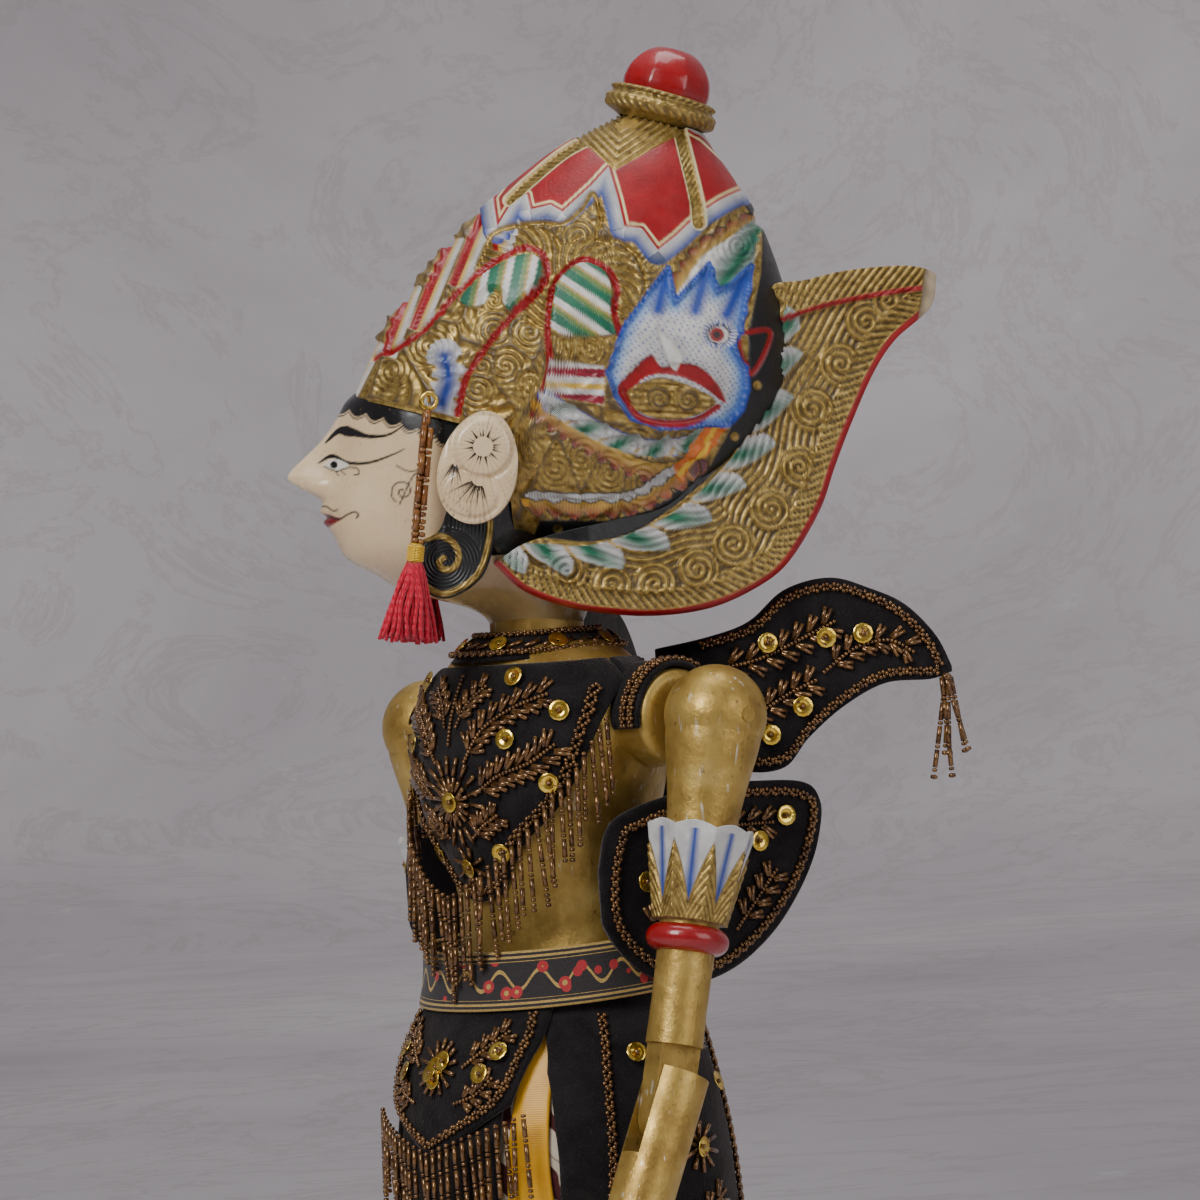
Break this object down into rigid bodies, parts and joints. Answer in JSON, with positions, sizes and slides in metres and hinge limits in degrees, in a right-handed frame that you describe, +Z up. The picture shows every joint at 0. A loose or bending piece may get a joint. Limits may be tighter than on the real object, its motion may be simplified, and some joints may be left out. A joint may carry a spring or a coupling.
{
  "type": "rod puppet",
  "caption": "Carved wooden rod puppet with a crowned head, string-jointed arms, arm rods, a beaded velvet costume and a long skirt on a central rod.",
  "frame": {"origin": "centre of the lower end of the central rod", "axes": "+Z up along the rod; the chest faces -Y; the puppet's left side is +X"},
  "size_m": [0.1996, 0.2183, 0.8076],
  "materials": {
    "plain_wood": "bare, handled",
    "dark_wood": "bare, handled",
    "cream_lacquer": "glossy lacquer over paint",
    "gold_carving": "bronze-gold paint on carved wood",
    "gold_paint": "worn gold paint on wood",
    "red_paint": "gloss paint",
    "black_paint": "gloss paint",
    "brass": "bright",
    "amber_beads": "glass beads",
    "bronze_beads": "lustrous glass beads",
    "yellow_thread": "wound thread",
    "red_yarn": "wool yarn",
    "cord": "cotton cord",
    "black_velvet": "velvet pile",
    "brocade": "woven with gold thread",
    "batik": "printed cotton",
    "yellow_satin": "satin",
    "armlet_paint": "carved and painted"
  },
  "bodies": {
    "rod_and_head": {"control_rod": "plain_wood", "torso_stop": "plain_wood", "head_block": "cream_lacquer", "head_peg": "plain_wood", "crown": "gold_carving", "crest": "gold_carving", "finial_ring": "gold_carving", "finial_bud": "red_paint", "left_ear": "cream_lacquer", "right_ear": "cream_lacquer", "left_hair_curl": "black_paint", "right_hair_curl": "black_paint", "left_tassel_hook": "brass", "right_tassel_hook": "brass"},
    "torso": {"torso_block": "gold_paint", "shoulder_cord": "cord", "collar": "black_velvet", "bib": "black_velvet", "bib_fringe": "bronze_beads", "cape": "black_velvet", "sarong": "batik", "belt": "brocade", "lower_apron": "black_velvet", "upper_apron": "black_velvet", "apron_fringe": "bronze_beads", "left_wing": "black_velvet", "left_wing_lobe": "black_velvet", "left_wing_tassel": "bronze_beads", "left_hip_panel": "black_velvet", "left_sash": "yellow_satin", "right_wing": "black_velvet", "right_wing_lobe": "black_velvet", "right_wing_tassel": "bronze_beads", "right_hip_panel": "black_velvet", "right_sash": "yellow_satin"},
    "left_ear_tassel": {"left_tassel_beads": "amber_beads", "left_tassel_knot": "yellow_thread", "left_tassel_yarn": "red_yarn"},
    "left_upper_arm": {"left_upper_arm": "gold_paint", "left_shoulder_plug": "gold_paint", "left_armlet": "armlet_paint", "left_armlet_ring": "red_paint"},
    "left_forearm": {"left_forearm": "gold_paint", "left_elbow_pin": "gold_paint", "left_bracelet": "red_paint", "left_hand_cord": "cord"},
    "left_arm_rod": {"left_arm_rod": "dark_wood"},
    "right_ear_tassel": {"right_tassel_beads": "amber_beads", "right_tassel_knot": "yellow_thread", "right_tassel_yarn": "red_yarn"},
    "right_upper_arm": {"right_upper_arm": "gold_paint", "right_shoulder_plug": "gold_paint", "right_armlet": "armlet_paint", "right_armlet_ring": "red_paint"},
    "right_forearm": {"right_forearm": "gold_paint", "right_elbow_pin": "gold_paint", "right_bracelet": "red_paint", "right_hand_cord": "cord"},
    "right_arm_rod": {"right_arm_rod": "dark_wood"}
  },
  "joints": [
    {"name": "body_turn", "type": "hinge", "parent": "rod_and_head", "child": "torso", "pos_m": [0, 0, 0], "axis": [0, 0, 1], "range_deg": [-128, 52]},
    {"name": "left_tassel_swing", "type": "hinge", "parent": "rod_and_head", "child": "left_ear_tassel", "pos_m": [0.01559, -0.05152, 0.688], "axis": [0.788, -0.6157, 0], "range_deg": [-45, 0]},
    {"name": "right_tassel_swing", "type": "hinge", "parent": "rod_and_head", "child": "right_ear_tassel", "pos_m": [-0.05376, 0.00266, 0.688], "axis": [0.788, -0.6157, 0], "range_deg": [-45, 0]},
    {"name": "left_shoulder", "type": "hinge", "parent": "torso", "child": "left_upper_arm", "pos_m": [0.082, 0.011, 0.574], "axis": [-1, 0, 0], "range_deg": [-34.3, 105.7]},
    {"name": "left_elbow", "type": "hinge", "parent": "left_upper_arm", "child": "left_forearm", "pos_m": [0.082, -0.02309, 0.44028], "axis": [-1, 0, 0], "range_deg": [-11.3, 78.7]},
    {"name": "left_rod_swing", "type": "hinge", "parent": "left_forearm", "child": "left_arm_rod", "pos_m": [0.082, -0.07753, 0.32664], "axis": [-1, 0, 0], "range_deg": [-70, 70]},
    {"name": "right_shoulder", "type": "hinge", "parent": "torso", "child": "right_upper_arm", "pos_m": [-0.082, 0.011, 0.574], "axis": [-1, 0, 0], "range_deg": [-14, 126]},
    {"name": "right_elbow", "type": "hinge", "parent": "right_upper_arm", "child": "right_forearm", "pos_m": [-0.082, 0.02542, 0.43676], "axis": [-1, 0, 0], "range_deg": [-14, 76]},
    {"name": "right_rod_swing", "type": "hinge", "parent": "right_forearm", "child": "right_arm_rod", "pos_m": [-0.082, 0.00789, 0.31198], "axis": [-1, 0, 0], "range_deg": [-70, 70]}
  ]
}
